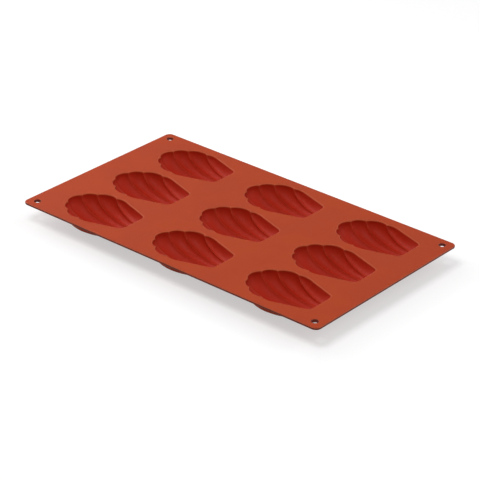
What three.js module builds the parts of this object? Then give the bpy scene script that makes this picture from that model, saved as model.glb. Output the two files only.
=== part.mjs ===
// A silicone baking mould: one flat sheet with nine scallop-shell cups hanging in it.
// Millimetres, +Z up. The cups' floors stand on z = 0 and the sheet is centred on the origin.
import * as THREE from 'three';

// The sheet
const SHEET_LENGTH = 300;        // along X, the standard baking-sheet format
const SHEET_WIDTH = 175;         // along Y
const SHEET_THICKNESS = 2;
const CORNER_RADIUS = 5;
const HANG_HOLE_DIAMETER = 6;
const HANG_HOLE_INSET = 8.5;     // hole centre to both edges

// The grid of cups, set in from the sheet's edges
const COLUMNS = ['left', 'centre', 'right'];
const ROWS = ['front', 'middle', 'back'];
const COLUMN_EDGE = 56;          // sheet's end to the first column's centre
const ROW_EDGE = 32.5;           // sheet's side to the first row's centre
const COLUMN_LAND = 29;          // flat sheet between the plain mouths of two columns
const ROW_LAND = 11;             // and of two rows

const COLUMN_PITCH = (SHEET_LENGTH - 2 * COLUMN_EDGE) / (COLUMNS.length - 1);
const ROW_PITCH = (SHEET_WIDTH - 2 * ROW_EDGE) / (ROWS.length - 1);

// One cup's plain mouth, seen from above: the straight hinge end of the shell is at +X and its
// fan at -X. The fan is half an ellipse, and straight sides run from its flanks to the hinge.
const MOUTH_LENGTH = COLUMN_PITCH - COLUMN_LAND;
const FLANK_HALF = (ROW_PITCH - ROW_LAND) / 2;
const HINGE_X = 0.523 * MOUTH_LENGTH;
const FAN_LENGTH = 0.47 * MOUTH_LENGTH;
const FAN_X = HINGE_X - MOUTH_LENGTH + FAN_LENGTH;
const HINGE_LENGTH = HINGE_X - FAN_X;
const HINGE_HALF = 0.6 * FLANK_HALF;               // before its corners are rounded
const HINGE_CORNER = 3;                            // radius of those corners
const SHOULDER_X = FAN_X + 0.245 * HINGE_LENGTH;   // where the sides begin to slope
const SHOULDER_BLEND = 4;                          // how softly they begin
const SIDE_SLOPE = (FLANK_HALF - HINGE_HALF) / (HINGE_X - SHOULDER_X);

// Seven flutes run from the hinge to the fan with a sharp ridge between neighbours
const RIDGE_ANGLES = [20.4, 49.2, 83.2];            // ridge ends on the fan, degrees from its tip
const RIDGE_STEP = HINGE_HALF / 4;                  // spacing of the ridges at the hinge
const FLUTE_ARCH = 0.15;                            // height of a flute's arch over its width, at the mouth
const FLUTE_SINK = 1;                               // how much more of it there is at the floor
const FLUTE_ROUND = 0.65;                           // 1 is a parabola, 0.5 is half an ellipse
const OUTER_FLUTE_X = FAN_X + 0.36 * HINGE_LENGTH;  // where the outer flutes end on the sides

// The cup's depth and walls
const CAVITY_DEPTH = 17;         // mouth to the lowest flute
const CUP_WALL = 1.6;
const CUP_FLOOR = 0.8;           // wall left over the flat foot
const PROFILE = 2;               // 2 is an ellipse, more is squarer
const HINGE_STEEPNESS = 3;       // how late the floor rises to the hinge
const FIT_GAP = 0.3;             // cup to sheet, all round

const SILICONE_COLOUR = 0xb04b30;

// Fineness of the surfaces
const STEPS_ACROSS = 4;          // in each flute, an even number
const STEPS_ALONG = 10;          // from hinge to fan
const ROUND_STEPS = 24;          // in a hanging hole

const STANDING_HEIGHT = CAVITY_DEPTH + CUP_FLOOR;
const EDGE = 1e-3;               // slopes are taken this far inside the mouth

const radians = (degrees) => degrees * Math.PI / 180;
const OUTER_ANGLE = Math.acos((FAN_X - OUTER_FLUTE_X) / FAN_LENGTH);
const RIM_ANGLES = [...RIDGE_ANGLES.map(radians), OUTER_ANGLE];
const OUTER = RIM_ANGLES.length - 1;
const HINGE_STEPS = [
  ...RIDGE_ANGLES.map((angle, n) => (n + 0.5) * RIDGE_STEP),
  HINGE_HALF - HINGE_CORNER,
];

// Half the width between the flanks: level at the fan, then sloping straight to the hinge.
function flankHalf(x) {
  const past = x - SHOULDER_X;
  return FLANK_HALF - SIDE_SLOPE * (Math.hypot(past, SHOULDER_BLEND) + past) / 2;
}

// Half the width of the plain mouth, with the corners of the hinge end rounded.
function mouthHalf(x) {
  const fan = Math.min(Math.max(0, (FAN_X - x) / FAN_LENGTH), 1);
  const corner = Math.min(Math.max(0, x - (HINGE_X - HINGE_CORNER)), HINGE_CORNER);
  const cut = HINGE_CORNER - Math.sqrt(HINGE_CORNER ** 2 - corner ** 2);
  return flankHalf(x) * Math.sqrt(1 - fan ** 2) - cut;
}

// How open the bowl is below a point: 1 over the deepest place, 0 all along the mouth's edge.
function openness(x, y) {
  if (x < FAN_X) {
    return 1 - ((FAN_X - x) / FAN_LENGTH) ** 2 - (y / flankHalf(x)) ** 2;
  }
  const along = 1 - ((x - FAN_X) / HINGE_LENGTH) ** HINGE_STEEPNESS;
  return along * (1 - (y / mouthHalf(x)) ** 2);
}

// Plan of the mouth's edge at an angle from the fan's tip, past its centre onto the flank.
function fanEdge(angle) {
  const x = FAN_X - FAN_LENGTH * Math.cos(angle);
  return [x, flankHalf(x) * Math.sin(Math.min(angle, Math.PI / 2))];
}

// Plan of the line a share s across a flute, at t from the hinge end to the fan's edge.
// Flutes are counted outwards from the middle one, and the outer one ends on the mouth's side.
function planPoint(flute, s, t) {
  const first = flute === 0 ? 0 : flute - 1;
  const from = flute === 0 ? -RIM_ANGLES[0] : RIM_ANGLES[first];
  const angle = from + (RIM_ANGLES[flute] - from) * s;
  const start = flute === 0 ? -HINGE_STEPS[0] : HINGE_STEPS[first];
  const hingeY = start + (HINGE_STEPS[flute] - start) * s;
  const [fanX, fanY] = fanEdge(Math.abs(angle));
  const x = HINGE_X + (fanX - HINGE_X) * t;
  let y = hingeY + (Math.sign(angle) * fanY - hingeY) * t;
  if (flute === OUTER) {
    const corner = HINGE_STEPS[OUTER];
    const sideX = HINGE_X + (OUTER_FLUTE_X - HINGE_X) * t;
    const straight = corner + (mouthHalf(OUTER_FLUTE_X) - corner) * t;
    y += s * (mouthHalf(sideX) - straight);
  }
  return [x, y];
}

// How far a flute's arch stands out from the plain bowl. The outer ones die out towards the side.
function fluteArch(flute, s, t) {
  const [x0, y0] = planPoint(flute, 0, t);
  const [x1, y1] = planPoint(flute, 1, t);
  const arch = FLUTE_ARCH * Math.hypot(x1 - x0, y1 - y0) * (4 * s * (1 - s)) ** FLUTE_ROUND;
  return flute === OUTER ? arch * (1 - s) : arch;
}

// The bowl is deepest at the fan's centre, where the middle flute's arch makes up the depth.
const DEEPEST_T = HINGE_LENGTH / (HINGE_LENGTH + FAN_LENGTH);
const BOWL_DEPTH = CAVITY_DEPTH - fluteArch(0, 0.5, DEEPEST_T) * (1 + FLUTE_SINK);

// A point of the cup's skin, `wall` outside its cavity. The bowl is a superellipse from mouth to
// floor. Arch and wall are laid along its normal, which is level at the mouth.
function skinPoint(flute, s, t, wall) {
  const [x, y] = planPoint(flute, s, t);
  const open = Math.min(Math.max(openness(x, y), 0), 1);
  const onEdge = t === 0 || t === 1 || (flute === OUTER && s === 1);
  const out = onEdge ? 1 : Math.sqrt(1 - open);
  const depth = BOWL_DEPTH * (1 - out ** PROFILE) ** (1 / PROFILE);
  const xi = Math.min(Math.max(x, FAN_X - FAN_LENGTH + EDGE), HINGE_X - EDGE);
  const h = EDGE / 4;
  const steep = out ** (PROFILE - 2) / 2;
  const normal = new THREE.Vector3(
    -steep * (openness(xi + h, y) - openness(xi - h, y)) / (2 * h),
    -steep * (openness(xi, y + h) - openness(xi, y - h)) / (2 * h),
    -((depth / BOWL_DEPTH) ** (PROFILE - 1)) / BOWL_DEPTH,
  ).normalize();
  const point = new THREE.Vector3(x, y, STANDING_HEIGHT - depth);
  const sunk = 1 + FLUTE_SINK * depth / BOWL_DEPTH;
  point.addScaledVector(normal, fluteArch(flute, s, t) * sunk + wall);
  point.z = Math.max(point.z, 0);
  return point;
}

// The lines across the whole shell, from one side of the mouth to the other.
function acrossLines() {
  const half = [];
  for (let flute = 0; flute < RIM_ANGLES.length; flute += 1) {
    for (let k = flute === 0 ? STEPS_ACROSS / 2 : 1; k <= STEPS_ACROSS; k += 1) {
      const share = k / STEPS_ACROSS;
      half.push({ flute, s: flute === OUTER ? Math.sin(share * Math.PI / 2) : share });
    }
  }
  const mirrored = half.slice(1).reverse().map((line) => ({ ...line, side: -1 }));
  return mirrored.concat(half.map((line) => ({ ...line, side: 1 })));
}

// Even steps along the skin bunch towards both ends in plan, where the walls are steep.
const alongShare = (j) => (1 - Math.cos(Math.PI * j / STEPS_ALONG)) / 2;

function skinGrid(wall) {
  return acrossLines().map(({ flute, s, side }) => {
    const line = [];
    for (let j = 0; j <= STEPS_ALONG; j += 1) {
      const point = skinPoint(flute, s, alongShare(j), wall);
      point.y *= side;
      line.push(point);
    }
    return line;
  });
}

// The edge of a grid, once round: along the hinge, up one side, round the fan and back.
function gridEdge(grid) {
  const last = grid.length - 1;
  const hinge = grid.map((line) => line[0]);
  const side = grid[last].slice(1);
  const fan = grid.slice(0, last).reverse().map((line) => line[STEPS_ALONG]);
  const back = grid[0].slice(1, STEPS_ALONG).reverse();
  return [...hinge, ...side, ...fan, ...back];
}

// One closed skin: the cavity, the outside and the level rim between them. The facets of one half
// mirror those of the other, so that the flat foot lies evenly on both sides of the middle.
function cupGeometry() {
  const inner = skinGrid(0);
  const outer = skinGrid(CUP_WALL);
  const middle = (inner.length - 1) / 2;
  const corners = [];
  const quad = (a, b, c, d) => corners.push(a, b, c, a, c, d);
  const mirroredQuad = (a, b, c, d) => quad(b, c, d, a);
  for (let i = 0; i < inner.length - 1; i += 1) {
    const facets = i < middle ? quad : mirroredQuad;
    for (let j = 0; j < STEPS_ALONG; j += 1) {
      facets(inner[i][j], inner[i + 1][j], inner[i + 1][j + 1], inner[i][j + 1]);
      facets(outer[i][j], outer[i][j + 1], outer[i + 1][j + 1], outer[i + 1][j]);
    }
  }
  const rimIn = gridEdge(inner);
  const rimOut = gridEdge(outer);
  for (let i = 0; i < rimIn.length; i += 1) {
    const next = (i + 1) % rimIn.length;
    quad(rimIn[i], rimOut[i], rimOut[next], rimIn[next]);
  }
  const geometry = new THREE.BufferGeometry().setFromPoints(corners);
  geometry.computeVertexNormals();
  return geometry;
}

// The sheet: rounded corners, four hanging holes and nine scalloped openings for the cups.
function sheetGeometry(centres) {
  const halfX = SHEET_LENGTH / 2 - CORNER_RADIUS;
  const halfY = SHEET_WIDTH / 2 - CORNER_RADIUS;
  const outline = new THREE.Shape();
  outline.absarc(halfX, halfY, CORNER_RADIUS, 0, Math.PI / 2);
  outline.absarc(-halfX, halfY, CORNER_RADIUS, Math.PI / 2, Math.PI);
  outline.absarc(-halfX, -halfY, CORNER_RADIUS, Math.PI, 1.5 * Math.PI);
  outline.absarc(halfX, -halfY, CORNER_RADIUS, 1.5 * Math.PI, 2 * Math.PI);
  const opening = gridEdge(skinGrid(CUP_WALL + FIT_GAP));
  for (const [cx, cy] of centres) {
    outline.holes.push(new THREE.Path(opening.map((p) => new THREE.Vector2(cx + p.x, cy + p.y))));
  }
  const holeX = SHEET_LENGTH / 2 - HANG_HOLE_INSET;
  const holeY = SHEET_WIDTH / 2 - HANG_HOLE_INSET;
  for (const [sx, sy] of [[1, 1], [-1, 1], [-1, -1], [1, -1]]) {
    const hole = new THREE.Path();
    hole.absarc(sx * holeX, sy * holeY, HANG_HOLE_DIAMETER / 2, 0, 2 * Math.PI);
    outline.holes.push(hole);
  }
  return new THREE.ExtrudeGeometry(outline, {
    depth: SHEET_THICKNESS,
    bevelEnabled: false,
    curveSegments: ROUND_STEPS / 2,
  });
}

// Terracotta silicone with a satin surface.
function silicone() {
  return new THREE.MeshStandardMaterial({ color: SILICONE_COLOUR, roughness: 0.55, metalness: 0 });
}

const mould = new THREE.Group();
mould.name = 'silicone_madeleine_mould';
const cupShape = cupGeometry();
const centres = [];
for (let row = 0; row < ROWS.length; row += 1) {
  for (let column = 0; column < COLUMNS.length; column += 1) {
    const x = (column - (COLUMNS.length - 1) / 2) * COLUMN_PITCH;
    const y = (row - (ROWS.length - 1) / 2) * ROW_PITCH;
    const cup = new THREE.Mesh(cupShape, silicone());
    cup.name = `cup_${ROWS[row]}_${COLUMNS[column]}`;
    cup.position.set(x, y, 0);
    centres.push([x, y]);
    mould.add(cup);
  }
}
const sheet = new THREE.Mesh(sheetGeometry(centres), silicone());
sheet.name = 'sheet';
sheet.position.z = STANDING_HEIGHT - SHEET_THICKNESS;
mould.add(sheet);

export default mould;
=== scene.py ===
# %% [markdown]
# # A silicone madeleine mould
# The real mould is one thin moulding of terracotta silicone: a flat sheet with nine scallop-shell
# cups sunk in it and a small hole at each corner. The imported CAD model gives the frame, with the
# sheet and every cup as a body of its own. Here each of them gets a finer skin, worked out as
# whole numpy arrays from one formula for the shell, and a satin silicone finish. The shapes are
# written in millimetres and become metres when a mesh is made.

# %% Load the frame
import math

import bpy
import numpy as np
from mathutils import Matrix, Vector
from mathutils.geometry import delaunay_2d_cdt


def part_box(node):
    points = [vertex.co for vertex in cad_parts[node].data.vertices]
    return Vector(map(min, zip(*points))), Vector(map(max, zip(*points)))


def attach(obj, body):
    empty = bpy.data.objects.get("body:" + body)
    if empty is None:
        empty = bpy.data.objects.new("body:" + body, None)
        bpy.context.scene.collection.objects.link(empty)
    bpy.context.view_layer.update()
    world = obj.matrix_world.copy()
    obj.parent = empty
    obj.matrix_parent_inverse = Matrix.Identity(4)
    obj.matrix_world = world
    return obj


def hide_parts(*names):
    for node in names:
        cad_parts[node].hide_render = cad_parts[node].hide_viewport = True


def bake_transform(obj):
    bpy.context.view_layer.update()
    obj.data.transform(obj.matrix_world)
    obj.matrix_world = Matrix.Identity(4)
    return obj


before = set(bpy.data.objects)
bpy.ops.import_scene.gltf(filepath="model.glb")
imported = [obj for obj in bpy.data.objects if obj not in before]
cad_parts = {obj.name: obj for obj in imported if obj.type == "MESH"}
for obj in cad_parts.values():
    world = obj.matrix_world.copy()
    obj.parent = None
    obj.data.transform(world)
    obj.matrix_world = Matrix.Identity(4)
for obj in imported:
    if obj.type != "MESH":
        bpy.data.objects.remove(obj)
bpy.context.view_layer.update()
MM = 0.001

# %% [markdown]
# ## The camera
# A camera can be aimed by eye, but a flat rectangle of known size fixes it exactly: the four
# sides of the sheet were fitted in the photograph, which gives a long lens far away, 28
# degrees above the table. The axes are built from azimuth, elevation and roll.

# %% Camera
IMAGE_PIXELS, FOCAL_PIXELS = 480, 2100
SENSOR_WIDTH = 36
AIM = np.array([20.822, -20.478, 17.8]) * MM
DISTANCE = 1624.14 * MM
AZIMUTH, ELEVATION, ROLL = np.radians([39.7314, 28.0055, 1.2695])
scene = bpy.context.scene


def into_scene(name, data):
    """A new object at the origin, linked to the scene."""
    made = bpy.data.objects.new(name, data)
    scene.collection.objects.link(made)
    return made


back = np.array([math.sin(AZIMUTH) * math.cos(ELEVATION),
                 -math.cos(AZIMUTH) * math.cos(ELEVATION),
                 math.sin(ELEVATION)])
level = np.cross([0, 0, 1], back)
level /= np.linalg.norm(level)
upright = np.cross(back, level)
across_axis = math.cos(ROLL) * level + math.sin(ROLL) * upright
up_axis = math.cos(ROLL) * upright - math.sin(ROLL) * level

camera = into_scene("camera", bpy.data.cameras.new("camera"))
camera.data.sensor_width = SENSOR_WIDTH
camera.data.lens = SENSOR_WIDTH * FOCAL_PIXELS / IMAGE_PIXELS
camera.data.clip_start, camera.data.clip_end = 0.05, 50
placing = np.eye(4)
placing[:3, :] = np.column_stack([across_axis, up_axis, back, AIM + back * DISTANCE])
camera.matrix_world = Matrix(placing.tolist())
scene.camera = camera
print("lens", round(camera.data.lens, 1), "mm, camera at", np.round(AIM + back * DISTANCE, 3))

# %% [markdown]
# ## The plain mouth of a shell
# Seen from above, a madeleine cup is half an ellipse at the fan end and two straight sides that
# close in on a short hinge end. One number, the openness, is 1 over the deepest place and falls
# to 0 all along the edge. The depth of the bowl is a function of it alone, so the same number
# gives the outline, the walls and their slope.

# %% Mouth
MOUTH_LENGTH, FLANK_HALF = 65.0, 22.0
HINGE_X = 0.523 * MOUTH_LENGTH
FAN_LENGTH = 0.47 * MOUTH_LENGTH
FAN_X = HINGE_X - MOUTH_LENGTH + FAN_LENGTH
HINGE_LENGTH = HINGE_X - FAN_X
HINGE_HALF, HINGE_CORNER = 0.6 * FLANK_HALF, 3.0
SHOULDER_X, SHOULDER_BLEND = FAN_X + 0.245 * HINGE_LENGTH, 4.0
SIDE_SLOPE = (FLANK_HALF - HINGE_HALF) / (HINGE_X - SHOULDER_X)
HINGE_STEEPNESS = 3.0


def flank_half(x):
    """Half the width between the flanks: level, then a straight slope after a soft shoulder."""
    past = x - SHOULDER_X
    return FLANK_HALF - SIDE_SLOPE * (np.hypot(past, SHOULDER_BLEND) + past) / 2


def mouth_half(x):
    """The flanks times an ellipse over the fan, less a circle's rounding at the hinge corners."""
    fan = np.clip((FAN_X - x) / FAN_LENGTH, 0, 1)
    corner = np.clip(x - (HINGE_X - HINGE_CORNER), 0, HINGE_CORNER)
    rounding = HINGE_CORNER - np.sqrt(HINGE_CORNER ** 2 - corner ** 2)
    return flank_half(x) * np.sqrt(1 - fan ** 2) - rounding


def openness(x, y):
    """Over the fan, one less the two squared shares of an ellipse; over the hinge side, the
    product of one less a third power along and one less a square across."""
    fan = 1 - ((FAN_X - x) / FAN_LENGTH) ** 2 - (y / flank_half(x)) ** 2
    along = 1 - (np.maximum(x - FAN_X, 0) / HINGE_LENGTH) ** HINGE_STEEPNESS
    return np.where(x < FAN_X, fan, along * (1 - (y / mouth_half(x)) ** 2))


print("mouth", MOUTH_LENGTH, "by", 2 * FLANK_HALF, "mm before its flutes")

# %% [markdown]
# ## Seven flutes
# The flutes fan out from the hinge to the edge with a ridge between neighbours. They could be
# carved one by one, but they are the same thing seven times, so one number u across the shell
# counts them: whole numbers are the middles of flutes and halves are ridges. The other number t
# runs along a flute from the hinge to the fan. Each flute is an arch added on the plain bowl, and
# the arches grow towards the floor. A plain parabola would look too flat, so a power brings it
# close to half an ellipse. It would also meet the next one in a knife edge, which silicone can't
# hold, so a square root rounds the ridge off.

# %% Flutes
RIDGE_ANGLES = np.radians([20.4, 49.2, 83.2])
RIDGE_STEP = HINGE_HALF / 4
FLUTE_ARCH, FLUTE_SINK, FLUTE_ROUND = 0.15, 1.0, 0.65
RIDGE_ROUND = 0.2
OUTER_FLUTE_X = FAN_X + 0.36 * HINGE_LENGTH
OUTER = len(RIDGE_ANGLES)
SIDE_LINE = OUTER + 0.5
RIM_ANGLES = np.append(RIDGE_ANGLES, np.arccos((FAN_X - OUTER_FLUTE_X) / FAN_LENGTH))
HINGE_STEPS = np.append((np.arange(OUTER) + 0.5) * RIDGE_STEP, HINGE_HALF - HINGE_CORNER)
FROM_ANGLES = np.concatenate([-RIM_ANGLES[:1], RIM_ANGLES[:-1]])
FROM_STEPS = np.concatenate([-HINGE_STEPS[:1], HINGE_STEPS[:-1]])


def flute_of(u):
    """Which flute a line lies in, counted from the middle one, and its share across it."""
    reach = np.abs(u)
    flute = np.clip(np.ceil(reach - 0.5), 0, OUTER).astype(int)
    return flute, np.where(flute == 0, reach + 0.5, reach - flute + 0.5)


def plan_line(flute, s, t):
    """A straight line from the hinge to an angle on the fan's edge; in the outer flutes it bows
    out to follow the side of the mouth."""
    angle = FROM_ANGLES[flute] + (RIM_ANGLES - FROM_ANGLES)[flute] * s
    hinge_y = FROM_STEPS[flute] + (HINGE_STEPS - FROM_STEPS)[flute] * s
    fan_x = FAN_X - FAN_LENGTH * np.cos(angle)
    fan_y = np.sign(angle) * flank_half(fan_x) * np.sin(np.minimum(np.abs(angle), np.pi / 2))
    side = mouth_half(HINGE_X + (OUTER_FLUTE_X - HINGE_X) * t)
    straight = HINGE_STEPS[OUTER] + (mouth_half(OUTER_FLUTE_X) - HINGE_STEPS[OUTER]) * t
    bow = np.where(flute == OUTER, s * (side - straight), 0)
    return HINGE_X + (fan_x - HINGE_X) * t, hinge_y + (fan_y - hinge_y) * t + bow


def flute_width(flute, t):
    """Distance between the two ridges of a flute, in plan."""
    x0, y0 = plan_line(flute, 0.0, t)
    x1, y1 = plan_line(flute, 1.0, t)
    return np.hypot(x1 - x0, y1 - y0)


def flute_arch(flute, s, t):
    """A parabola over the flute's width, rounded where it meets the ridge and raised to a power
    that makes it rounder; in the outer flutes it dies out towards the side of the mouth."""
    width = flute_width(flute, t)
    soft = RIDGE_ROUND / width
    hump = s * (1 - s)
    arch = FLUTE_ARCH * width * (4 * (np.sqrt(hump ** 2 + soft ** 2) - soft)) ** FLUTE_ROUND
    return np.where(flute == OUTER, arch * (1 - s), arch)


print("flutes end at", np.degrees(RIM_ANGLES).round(1), "degrees from the fan's tip")

# %% [markdown]
# ## One point of the skin
# A bowl could be turned or sculpted. This one is an ellipse from mouth to floor, so its wall is
# upright at the mouth, and a higher power than 2 would make it squarer. The arch of the flute and
# the thickness of the wall are both laid along the bowl's normal, so the outside shows the flutes
# as ribs, as a moulded cup does. A small lip belongs to the sheet, so the cup starts just below
# it.

# %% Skin
CAVITY_DEPTH, CUP_WALL, PROFILE = 17.0, 1.6, 2.0
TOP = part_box("sheet")[1].z / MM
SHEET_THICKNESS = (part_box("sheet")[1].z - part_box("sheet")[0].z) / MM
LIP = 1.0
EDGE_CLEARANCE, SLOPE_STEP = 1e-3, 2.5e-4
FLOOR_T = HINGE_LENGTH / (HINGE_LENGTH + FAN_LENGTH)
DEEPEST_ARCH = flute_arch(np.array(0), 0.5, FLOOR_T) * (1 + FLUTE_SINK)
BOWL_DEPTH = CAVITY_DEPTH - DEEPEST_ARCH


def shell_point(u, t, wall):
    """Depth is the superellipse of the openness; the normal comes from the openness's slopes.
    Returns plan and depth below the rim, all with the arch and the wall added."""
    flute, s = flute_of(u)
    x, y = plan_line(flute, s, t)
    edge = (t == 0) | (t == 1) | (np.abs(u) == SIDE_LINE)
    out = np.where(edge, 1.0, np.sqrt(1 - np.clip(openness(x, y), 0, 1)))
    depth = BOWL_DEPTH * (1 - out ** PROFILE) ** (1 / PROFILE)
    inside = np.clip(x, FAN_X - FAN_LENGTH + EDGE_CLEARANCE, HINGE_X - EDGE_CLEARANCE)
    h = SLOPE_STEP
    steep = out ** (PROFILE - 2) / 2
    normal = np.stack([-steep * (openness(inside + h, y) - openness(inside - h, y)) / (2 * h),
                       -steep * (openness(inside, y + h) - openness(inside, y - h)) / (2 * h),
                       (depth / BOWL_DEPTH) ** (PROFILE - 1) / BOWL_DEPTH], -1)
    normal /= np.linalg.norm(normal, axis=-1, keepdims=True)
    arch = flute_arch(flute, s, t) * (1 + FLUTE_SINK * depth / BOWL_DEPTH)
    point = np.stack([x, y, depth], -1) + normal * (arch + wall)[..., None]
    point[..., 1] *= np.where(u < 0, -1, 1)
    return point


def cup_surface(u, t, wall):
    """The shell hung from below the lip: depths are shortened so that the floor stays where it
    is, and nothing goes below the table."""
    point = shell_point(u, t, wall)
    below = LIP + point[..., 2] * (CAVITY_DEPTH - LIP) / CAVITY_DEPTH
    return np.concatenate([point[..., :2], np.maximum(TOP - below, 0)[..., None]], -1)


print("bowl", round(float(BOWL_DEPTH), 2), "mm deep under", round(TOP, 2), "mm")

# %% [markdown]
# ## The grids of a cup
# A cup is two grids of the same formula, the cavity and the outside one wall thickness away, with
# a level strip between their edges. Steps across bunch up at the ridges and steps along bunch up
# at the steep ends, where the shape bends most. Marks go with the points and steer the painted
# shade and painted highlights of the finish: how deep a point lies in a cup, how close it is to a
# ridge, and, on the sheet, to a lip or a cut edge.

# %% Cup grids
STEPS_ACROSS, STEPS_ALONG = 16, 64
RIDGE_MARK = 0.45


def bunched(steps):
    """Shares from 0 to 1 that bunch up at both ends: one less a cosine over half a turn."""
    return (1 - np.cos(np.pi * np.arange(steps + 1) / steps)) / 2


def grid_quads(rows, columns, start=0, closed=False, turned=False):
    """Corner numbers of the quads of a grid, row by row, from arithmetic on whole arrays."""
    i, j = np.meshgrid(np.arange(rows if closed else rows - 1), np.arange(columns - 1),
                       indexing="ij")
    near, far = i * columns + j, (i + 1) % rows * columns + j
    quads = np.stack([near, far, far + 1, near + 1], -1).reshape(-1, 4)
    return start + (quads[:, ::-1] if turned else quads)


def edge_numbers(rows, columns):
    """Point numbers once round a grid: the hinge, one side, the fan and the other side."""
    last = (rows - 1) * columns
    return np.concatenate([np.arange(rows) * columns, last + np.arange(1, columns),
                           (np.arange(rows - 2, -1, -1) + 1) * columns - 1,
                           np.arange(columns - 2, 0, -1)])


flute_starts = np.arange(-SIDE_LINE, SIDE_LINE)[:, None]
ACROSS = np.append((flute_starts + bunched(STEPS_ACROSS)[:-1]).ravel(), SIDE_LINE)
U, T = np.meshgrid(ACROSS, bunched(STEPS_ALONG), indexing="ij")
inner, outer = cup_surface(U, T, 0.0), cup_surface(U, T, CUP_WALL)
count = U.size
round_edge = edge_numbers(*U.shape)
after = np.roll(round_edge, -1)
rim_strip = np.stack([round_edge, round_edge + count, after + count, after], -1)
cup_points = np.concatenate([inner.reshape(-1, 3), outer.reshape(-1, 3)])
cup_quads = np.concatenate([grid_quads(*U.shape),
                            grid_quads(*U.shape, start=count, turned=True), rim_strip])
FLUTE, SHARE = flute_of(U)
to_ridge = np.minimum(SHARE, np.where(FLUTE == OUTER, 1.0, 1 - SHARE)) * flute_width(FLUTE, T)
nothing = np.zeros(count)
# "hollow" steers a painted shade that deepens the colour down in a cup, "ridge" a painted highlight
# along the ridges.
cup_marks = {
    "hollow": np.append((TOP - inner[..., 2]).ravel() / CAVITY_DEPTH, nothing),
    "ridge": np.append(np.exp(-(to_ridge / RIDGE_MARK) ** 2).ravel(), nothing),
    "lip": np.zeros(2 * count),
    "cut": np.zeros(2 * count),
}
print("a cup has", len(cup_points), "points and", len(cup_quads), "quads")

# %% [markdown]
# ## Nine cups from one
# The nine cups of a real mould have one shape, so one set of points serves nine times and is only
# shifted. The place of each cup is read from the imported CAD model. The volume, a sum of signed
# tetrahedra, shows that the faces point outwards.

# %% Cups
CUP_NAMES = sorted(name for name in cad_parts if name.startswith("cup_"))
SHARP = math.radians(38)
CUBIC_CM = 1000


def new_piece(name, points, faces, marks):
    """A mesh object at the origin from points in millimetres, with its marks as attributes."""
    mesh = bpy.data.meshes.new(name)
    mesh.from_pydata((points * MM).tolist(), [], sum((part.tolist() for part in faces), []))
    for mark, values in marks.items():
        attribute = mesh.attributes.new(mark, "FLOAT", "POINT")
        attribute.data.foreach_set("value", values.astype(np.float32))
    mesh.shade_smooth()
    mesh.set_sharp_from_angle(angle=SHARP)
    mesh.validate()
    return into_scene(name, mesh)


def volume(points, faces):
    """Sum of the signed tetrahedra under the faces, in cubic centimetres: positive means that
    the faces point outwards."""
    fans = np.concatenate([part[:, [0, k, k + 1]]
                           for part in faces for k in range(1, part.shape[1] - 1)])
    a, b, c = (points[fans[:, k]] for k in range(3))
    return float(np.einsum("ij,ij->i", a, np.cross(b, c)).sum() / 6 / CUBIC_CM)


own_middle = (outer.reshape(-1, 3).min(0) + outer.reshape(-1, 3).max(0)) / 2
cup_skins, cup_centres = {}, []
for name in CUP_NAMES:
    low, high = (np.array(corner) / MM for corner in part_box(name))
    centre = ((low + high) / 2 - own_middle) * [1, 1, 0]
    cup_centres.append(centre)
    cup_skins[name] = new_piece(name.replace("cup", "cup_skin"), cup_points + centre,
                                [cup_quads], cup_marks)
print(len(cup_skins), "cups, each", round(volume(cup_points, [cup_quads]), 2), "cubic cm")

# %% [markdown]
# ## The edges of the sheet
# The sheet is flat above and below, so only its edges need thought: the outline, the four hanging
# holes and the nine mouths. Each is a closed path with a direction into the sheet, and one small
# profile of offset and depth is carried along it. The mouths get the rounded lip, a ledge that
# the cup's edge lies on, and below it a cove that runs out of the cup's wall. The holes narrow a
# little downwards, as punched holes in soft sheet do.

# %% Edge profiles
EDGE_ROUND, HOLE_ROUND, HOLE_TAPER, COVE, BITE = 0.7, 0.2, 1.2, 0.9, 0.4
OUTLINE_FLAT, HOLE_FLAT, LIP_FLAT, COVE_FLAT = 0.5, 0.3, 0.5, 0.4
TURN_POINTS = 9
quarter = np.linspace(0, np.pi / 2, TURN_POINTS)


def rounded_edge(radius, flat):
    """A flat ring, a quarter circle down, an upright wall, a quarter circle and a ring below.
    Columns are offset into the sheet, depth, how much painted highlight the rounding gets, whether
    it is a cut side, which is painted dark as shade, and how far it hangs into a cup."""
    turn = np.stack([radius * (1 - np.sin(quarter)), radius * (1 - np.cos(quarter)),
                     np.sin(2 * quarter), np.sin(quarter)], -1)
    foot = turn[::-1] * [1, -1, 1, 1] + [0, SHEET_THICKNESS, 0, 0]
    profile = np.concatenate([[[radius + flat, 0, 0, 0]], turn, foot,
                              [[radius + flat, SHEET_THICKNESS, 0, 0]]])
    return np.pad(profile, ((0, 0), (0, 1)))


# The third column is a painted highlight on the rounding of the lip.
lip_turn = np.stack([LIP * (1 - np.sin(quarter)), LIP * (1 - np.cos(quarter)),
                     np.sin(2 * quarter)], -1)
cove_turn = np.stack([CUP_WALL + COVE * (1 - np.cos(quarter)),
                      SHEET_THICKNESS + COVE * (1 - np.sin(quarter)), 0 * quarter], -1)
cove_turn[0, 0] -= BITE
mouth_profile = np.concatenate([[[LIP + LIP_FLAT, 0, 0]], lip_turn, [[CUP_WALL, LIP, 0]],
                                cove_turn, [[CUP_WALL + COVE + COVE_FLAT, SHEET_THICKNESS, 0]]])
# How far the lip hangs into the cup also feeds the hollows' painted shade.
in_cup = np.clip(mouth_profile[:, 1], 0, LIP) / CAVITY_DEPTH
mouth_profile = np.column_stack([mouth_profile, 0 * in_cup, in_cup])
outline_profile = rounded_edge(EDGE_ROUND, OUTLINE_FLAT)
hole_profile = rounded_edge(HOLE_ROUND, HOLE_FLAT)
hole_profile[:, 0] -= HOLE_TAPER * hole_profile[:, 1] / SHEET_THICKNESS
print("profile points:", len(mouth_profile), len(outline_profile), len(hole_profile))

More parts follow.
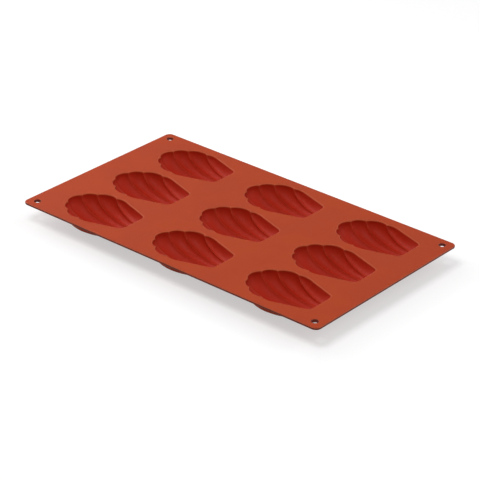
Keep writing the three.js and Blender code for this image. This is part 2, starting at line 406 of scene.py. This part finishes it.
# %% [markdown]
# ## Where the edges run
# The outline is a rectangle with round corners, the holes are circles, and the mouths follow the
# edge of the shell formula. Curve objects with a bevel could follow these lines too. Plain arrays
# of places and directions are enough on a flat sheet, and they let the points of a mouth match
# those of its cup one by one.

# %% Edge paths
SHEET_HALF = np.array(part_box("sheet")[1])[:2] / MM
CORNER_RADIUS, HOLE_INSET, HOLE_RADIUS = 5.0, 8.5, 3.0
OUTLINE_STEPS, HOLE_STEPS = 96, 48


def ring(steps):
    """Unit vectors once round, counter-clockwise."""
    angle = 2 * np.pi * (np.arange(steps) + 0.5) / steps
    return np.stack([np.cos(angle), np.sin(angle)], -1)


corner_turn, hole_turn = ring(OUTLINE_STEPS), ring(HOLE_STEPS)
outline_path = np.sign(corner_turn) * (SHEET_HALF - CORNER_RADIUS) + CORNER_RADIUS * corner_turn
hole_path = HOLE_RADIUS * hole_turn
hole_places = [np.array([sx, sy]) * (SHEET_HALF - HOLE_INSET) for sx in (-1, 1) for sy in (-1, 1)]
edge_u, edge_t = U.ravel()[round_edge], T.ravel()[round_edge]
mouth_path = shell_point(edge_u, edge_t, 0.0)[:, :2]
mouth_out = shell_point(edge_u, edge_t, np.ones(len(edge_u)))[:, :2] - mouth_path
paths = [(outline_path, -corner_turn, outline_profile, True)]
paths += [(centre + hole_path, hole_turn, hole_profile, False) for centre in hole_places]
paths += [(centre[:2] + mouth_path, mouth_out, mouth_profile, False) for centre in cup_centres]
print(len(paths), "edges:", [len(path[0]) for path in paths])

# %% [markdown]
# ## One closed sheet
# The profiles become grids of quads along their paths. The flats between them could be cut out
# with booleans, which leave stray points. A triangulation that is bound to the edge lines keeps
# every point where it is, and the triangles that lie in an opening are left out.

# %% Sheet mesh
MERGE_DISTANCE = 1e-7
points, quads, marks = [], [], []
top_loops, bottom_loops, start = [], [], 0
for path, into, profile, turned in paths:
    plan = path[:, None, :] + into[:, None, :] * profile[None, :, :1]
    height = np.broadcast_to(TOP - profile[None, :, 1:2], (*plan.shape[:2], 1))
    points.append(np.concatenate([plan, height], -1).reshape(-1, 3))
    quads.append(grid_quads(*plan.shape[:2], start=start, closed=True, turned=turned))
    marks.append(np.tile(profile[:, 2:], (len(path), 1)))
    numbers = start + np.arange(len(path)) * len(profile)
    top_loops.append(numbers)
    bottom_loops.append(numbers + len(profile) - 1)
    start += plan.shape[0] * plan.shape[1]
sheet_points = np.concatenate(points)
# The edge marks: a painted highlight on the roundings, the cut sides that take a painted shade, and
# the depth that feeds the hollows' painted shade.
highlight_mark, cut, hollow = np.concatenate(marks).T


def flat_between(loops, turned):
    """Triangles between the outline and the openings, with the point numbers of the sheet. A
    triangle that takes its corners from one opening, in the order round it, lies in the opening."""
    numbers = np.concatenate(loops)
    sizes = [len(loop) for loop in loops]
    owner = np.repeat(np.arange(len(loops)), sizes)
    first = np.repeat(np.cumsum([0] + sizes[:-1]), sizes)
    counted = np.arange(len(numbers))
    following = first + (counted - first + 1) % np.repeat(sizes, sizes)
    lines = np.stack([counted, following], -1).tolist()
    made = delaunay_2d_cdt(sheet_points[numbers, :2].tolist(), lines, [], 0, MERGE_DISTANCE)
    made_faces, given_points = made[2], made[3]
    a, b, c = np.array([given[0] for given in given_points])[np.array(made_faces)].T
    in_order = (a < b).astype(int) + (b < c) + (c < a) == 2
    in_opening = in_order & (owner[a] > 0) & (owner[a] == owner[b]) & (owner[b] == owner[c])
    triangles = numbers[np.stack([a, b, c], -1)[~in_opening]]
    return triangles[:, ::-1] if turned else triangles


top_flat, bottom_flat = flat_between(top_loops, False), flat_between(bottom_loops, True)
sheet_faces = [np.concatenate(quads), np.concatenate([top_flat, bottom_flat])]
sheet_marks = {"hollow": hollow, "ridge": np.zeros(len(sheet_points)), "lip": highlight_mark, "cut": cut}
sheet_skin = new_piece("sheet_skin", sheet_points, sheet_faces, sheet_marks)
print("sheet:", len(sheet_points), "points,", sum(map(len, sheet_faces)), "faces,",
      round(volume(sheet_points, sheet_faces), 2), "cubic cm")

# %% [markdown]
# ## Nodes in a few words
# A finish is a tree of nodes. It could be drawn by hand in the shader editor, but in a script a
# few helpers make it read like a sentence: add a node, work out a number, stretch a range and mix
# two colours.

# %% Node helpers
def from_screen(red, green, blue):
    """A screen colour of 0 to 255 as the linear colour that a shader takes."""
    c = np.array([red, green, blue]) / 255
    return (*np.where(c <= 0.04045, c / 12.92, ((c + 0.055) / 1.055) ** 2.4), 1.0)


def add(tree, kind, inputs, **settings):
    """Adds a node: settings are its own properties, and inputs are values or other sockets."""
    made = tree.nodes.new(kind)
    for name, value in settings.items():
        setattr(made, name, value)
    for name, value in inputs.items():
        if isinstance(value, bpy.types.NodeSocket):
            tree.links.new(value, made.inputs[name])
        else:
            made.inputs[name].default_value = value
    return made


def work_out(tree, operation, *values):
    """One number from one or two others: a product, a difference, the greater or the size."""
    return add(tree, "ShaderNodeMath", dict(enumerate(values)), operation=operation).outputs[0]


def spread(tree, value, given, wanted):
    """Stretches one range of values onto another and holds the ends."""
    ranges = dict(enumerate((value, *given, *wanted)))
    return add(tree, "ShaderNodeMapRange", ranges).outputs[0]


def blend_colours(tree, share, first, second):
    """The first colour where share is 0 and the second where it is 1."""
    return add(tree, "ShaderNodeMix", {0: share, 6: first, 7: second}, data_type="RGBA").outputs[2]


def noise(tree, place, scale, detail):
    """Fractal noise of a place, from 0 to 1, with finer layers added as the detail grows."""
    inputs = {"Vector": place, "Scale": scale, "Detail": detail}
    return add(tree, "ShaderNodeTexNoise", inputs).outputs["Fac"]


print("a screen grey of 128 is", round(float(from_screen(128, 128, 128)[0]), 3), "in the shader")

# %% [markdown]
# ## The silicone
# Baking silicone is dyed right through and comes out of the mould satin, with a fine grain. A flat
# colour would look like paint, so the dye wanders a little and the grain is a bump. The rest is
# painted light: the colour grows deeper and redder down in the cavities, a painted shade for the
# shade and red bounce light there; a pale painted highlight lies on the lips, roundings and ridges;
# and the cut sides of the outline and the holes are painted dark, a painted shade. The marks of
# the points steer these, and all patterns read Object coordinates.

# %% Silicone colour
# The deep red of the hollows and the dark of the cut edges are painted shade, and the pale colour
# is a painted highlight; the dyes and the dust are the silicone's own.
DYE_DARK, DYE_PALE = from_screen(172, 59, 21), from_screen(177, 65, 26)
HOLLOW_PAINTED_SHADE, DUST_PALE = from_screen(172, 35, 11), from_screen(190, 88, 58)
EDGE_PAINTED_SHADE, PAINTED_HIGHLIGHT_PALE = from_screen(84, 17, 8), from_screen(200, 98, 66)
DYE_CLOUDS, HOLLOW_SHADE_START, DUST_SPECKS = (0.35, 0.65), (0.01, 0.1), (0.62, 0.8)
DUST_SHARE, EDGE_SHADE_SHARE, LIP_HIGHLIGHT, RIDGE_HIGHLIGHT = 0.25, 0.9, 0.6, 0.2

silicone = bpy.data.materials.new("terracotta_silicone")
silicone.use_nodes = True
tree = silicone.node_tree
shader = tree.nodes["Principled BSDF"]
place = add(tree, "ShaderNodeTexCoord", {}).outputs["Object"]
mark = {name: add(tree, "ShaderNodeAttribute", {}, attribute_name=name).outputs["Fac"]
        for name in cup_marks}
clouds = noise(tree, place, scale=38.0, detail=4.0)
grain = noise(tree, place, scale=2600.0, detail=3.0)
dust = noise(tree, place, scale=420.0, detail=5.0)

dye = blend_colours(tree, spread(tree, clouds, DYE_CLOUDS, (0, 1)), DYE_DARK, DYE_PALE)
# Painted shade: the colour deepens and reddens with depth in a cup.
dye = blend_colours(tree, spread(tree, mark["hollow"], HOLLOW_SHADE_START, (0, 1)), dye, HOLLOW_PAINTED_SHADE)
dye = blend_colours(tree, spread(tree, dust, DUST_SPECKS, (0, DUST_SHARE)), dye, DUST_PALE)
# Painted shade: the cut sides of the outline and the holes are darkened.
dye = blend_colours(tree, work_out(tree, "MULTIPLY", mark["cut"], EDGE_SHADE_SHARE), dye, EDGE_PAINTED_SHADE)
# Painted highlight: a pale colour on the lips, the roundings and the ridges.
painted_highlight = work_out(tree, "MAXIMUM", work_out(tree, "MULTIPLY", mark["lip"], LIP_HIGHLIGHT),
                 work_out(tree, "MULTIPLY", mark["ridge"], RIDGE_HIGHLIGHT))
dye = blend_colours(tree, painted_highlight, dye, PAINTED_HIGHLIGHT_PALE)
tree.links.new(dye, shader.inputs["Base Color"])
print("terracotta dye in the shader:", np.round(DYE_DARK[:3], 3), "to", np.round(DYE_PALE[:3], 3))

# %% [markdown]
# ## Satin and grain
# The satin comes from the roughness, which wanders with the same clouds as the dye and is lower on
# the cut edges. The grain is far too fine for geometry, so it is a bump of about a tenth of a
# millimetre. Silicone bends light less than glass and its shine is weak.

# %% Silicone surface
GLOSS_CLOUDS, SATIN, CUT_POLISH = (0.3, 0.7), (0.56, 0.64), 0.2
GRAIN_STRENGTH, GRAIN_HEIGHT = 0.25, 0.00012

satin = spread(tree, clouds, GLOSS_CLOUDS, SATIN)
satin = work_out(tree, "SUBTRACT", satin, work_out(tree, "MULTIPLY", mark["cut"], CUT_POLISH))
tree.links.new(satin, shader.inputs["Roughness"])
skin_grain = add(tree, "ShaderNodeBump",
                 {"Height": grain, "Strength": GRAIN_STRENGTH, "Distance": GRAIN_HEIGHT})
tree.links.new(skin_grain.outputs["Normal"], shader.inputs["Normal"])
shader.inputs["IOR"].default_value = 1.41
shader.inputs["Specular IOR Level"].default_value = 0.22
print("silicone has", len(tree.nodes), "nodes")

# %% [markdown]
# ## Who moves with what
# The sheet's skin rides on the sheet. A cup's skin can't ride on its cup alone, because pressing a
# cup from below lifts its floor while its lip stays in the sheet, so each one is only set in place
# where it stands.

# %% Ride and stand
for piece in (sheet_skin, *cup_skins.values()):
    piece.data.materials.append(silicone)
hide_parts("sheet")
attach(sheet_skin, "sheet")
for (name, piece), centre in zip(cup_skins.items(), cup_centres):
    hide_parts(name)
    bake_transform(piece)
print("replaced", 1 + len(cup_skins), "nodes")

# %% [markdown]
# ## The floor
# The photograph has a clean white ground with a soft grey shadow. More light would bleach the
# silicone, so the floor adds a glow of its own that only the camera and mirrors see. The glow is
# turned down in a box under and just around the mould, a painted shadow, and the floor's diffuse
# part takes the lamps' shadows.

# %% Floor
FLOOR_HALF, FLOOR_DROP = 6.0, 0.0003
FLOOR_GREY = (0.5, 0.5, 0.5, 1)
# Where the glow is turned down under the mould: a painted shadow.
EDGE_REACH, EDGE_GLOW = (-0.015, 0.03), (0.52, 0.62)
DEEP_REACH, DEEP_GLOW = (-0.029, -0.024), (0.05, 1.0)
floor_mesh = bpy.data.meshes.new("floor")
floor_mesh.from_pydata([(sx * FLOOR_HALF, sy * FLOOR_HALF, -FLOOR_DROP) for sx, sy in
                        ((-1, -1), (1, -1), (1, 1), (-1, 1))], [], [(0, 1, 2, 3)])
floor = into_scene("floor", floor_mesh)


def seen_directly(tree):
    """1 for camera, mirror and glass rays, 0 for the light that bounces between surfaces."""
    rays = add(tree, "ShaderNodeLightPath", {}).outputs
    seen = work_out(tree, "MAXIMUM", rays["Is Camera Ray"], rays["Is Glossy Ray"])
    return work_out(tree, "MAXIMUM", seen, rays["Is Transmission Ray"])


def outside(tree, coordinate, half):
    """How far a coordinate lies outside the mould's half width; negative under the mould."""
    return work_out(tree, "SUBTRACT", work_out(tree, "ABSOLUTE", coordinate), half)


white_floor = bpy.data.materials.new("white_floor")
white_floor.use_nodes = True
tree = white_floor.node_tree
tree.nodes.clear()
place = add(tree, "ShaderNodeTexCoord", {}).outputs["Object"]
where = add(tree, "ShaderNodeSeparateXYZ", {0: place}).outputs
past = [outside(tree, where[axis], SHEET_HALF[axis] * MM) for axis in (0, 1)]
beside = work_out(tree, "MAXIMUM", *past)
glow_with_painted_shadow = work_out(tree, "MULTIPLY", spread(tree, beside, EDGE_REACH, EDGE_GLOW),
                      spread(tree, beside, DEEP_REACH, DEEP_GLOW))
glow_strength = work_out(tree, "MULTIPLY", seen_directly(tree), glow_with_painted_shadow)
matt = add(tree, "ShaderNodeBsdfDiffuse", {"Color": FLOOR_GREY})
glow = add(tree, "ShaderNodeEmission", {"Strength": glow_strength})
both = add(tree, "ShaderNodeAddShader", {0: matt.outputs[0], 1: glow.outputs[0]})
add(tree, "ShaderNodeOutputMaterial", {"Surface": both.outputs[0]})
floor_mesh.materials.append(white_floor)
print("floor", 2 * FLOOR_HALF, "m wide")

# %% [markdown]
# ## The light
# The flutes tell where the lamps stood. One large lamp is overhead, a little to the front. Two
# weaker ones stand low, one on the left and one at the back right, where they light the sides of
# the flutes and draw the two soft shadows. An even white sky fills the rest.

# %% Lights
SKY_LIGHT, SKY_SEEN = 0.29, 1.0
scene.view_settings.view_transform = "Standard"
world = bpy.data.worlds.new("studio")
scene.world = world
world.use_nodes = True
tree = world.node_tree
tree.nodes.clear()
sky_strength = spread(tree, seen_directly(tree), (0, 1), (SKY_LIGHT, SKY_SEEN))
sky = add(tree, "ShaderNodeBackground", {"Color": (1, 1, 1, 1), "Strength": sky_strength})
add(tree, "ShaderNodeOutputWorld", {"Surface": sky.outputs[0]})


def soft_lamp(name, direction, distance, size, watts):
    """A square lamp that faces the mould from a direction."""
    lamp = bpy.data.lights.new(name, "AREA")
    lamp.size, lamp.energy = size, watts
    holder = into_scene(name, lamp)
    way = Vector(direction).normalized()
    holder.location = way * distance
    holder.rotation_euler = way.to_track_quat("Z", "Y").to_euler()
    return holder


lamps = [soft_lamp("top_lamp", (0, -0.4, 1), distance=1.5, size=0.6, watts=9.3),
         soft_lamp("left_lamp", (-1, 0, 0.5), distance=0.8, size=0.5, watts=2.2),
         soft_lamp("right_lamp", (0.7, 0.7, 0.5), distance=1.5, size=0.8, watts=5.8)]
print("lamps at", [[round(c, 2) for c in lamp.location] for lamp in lamps])
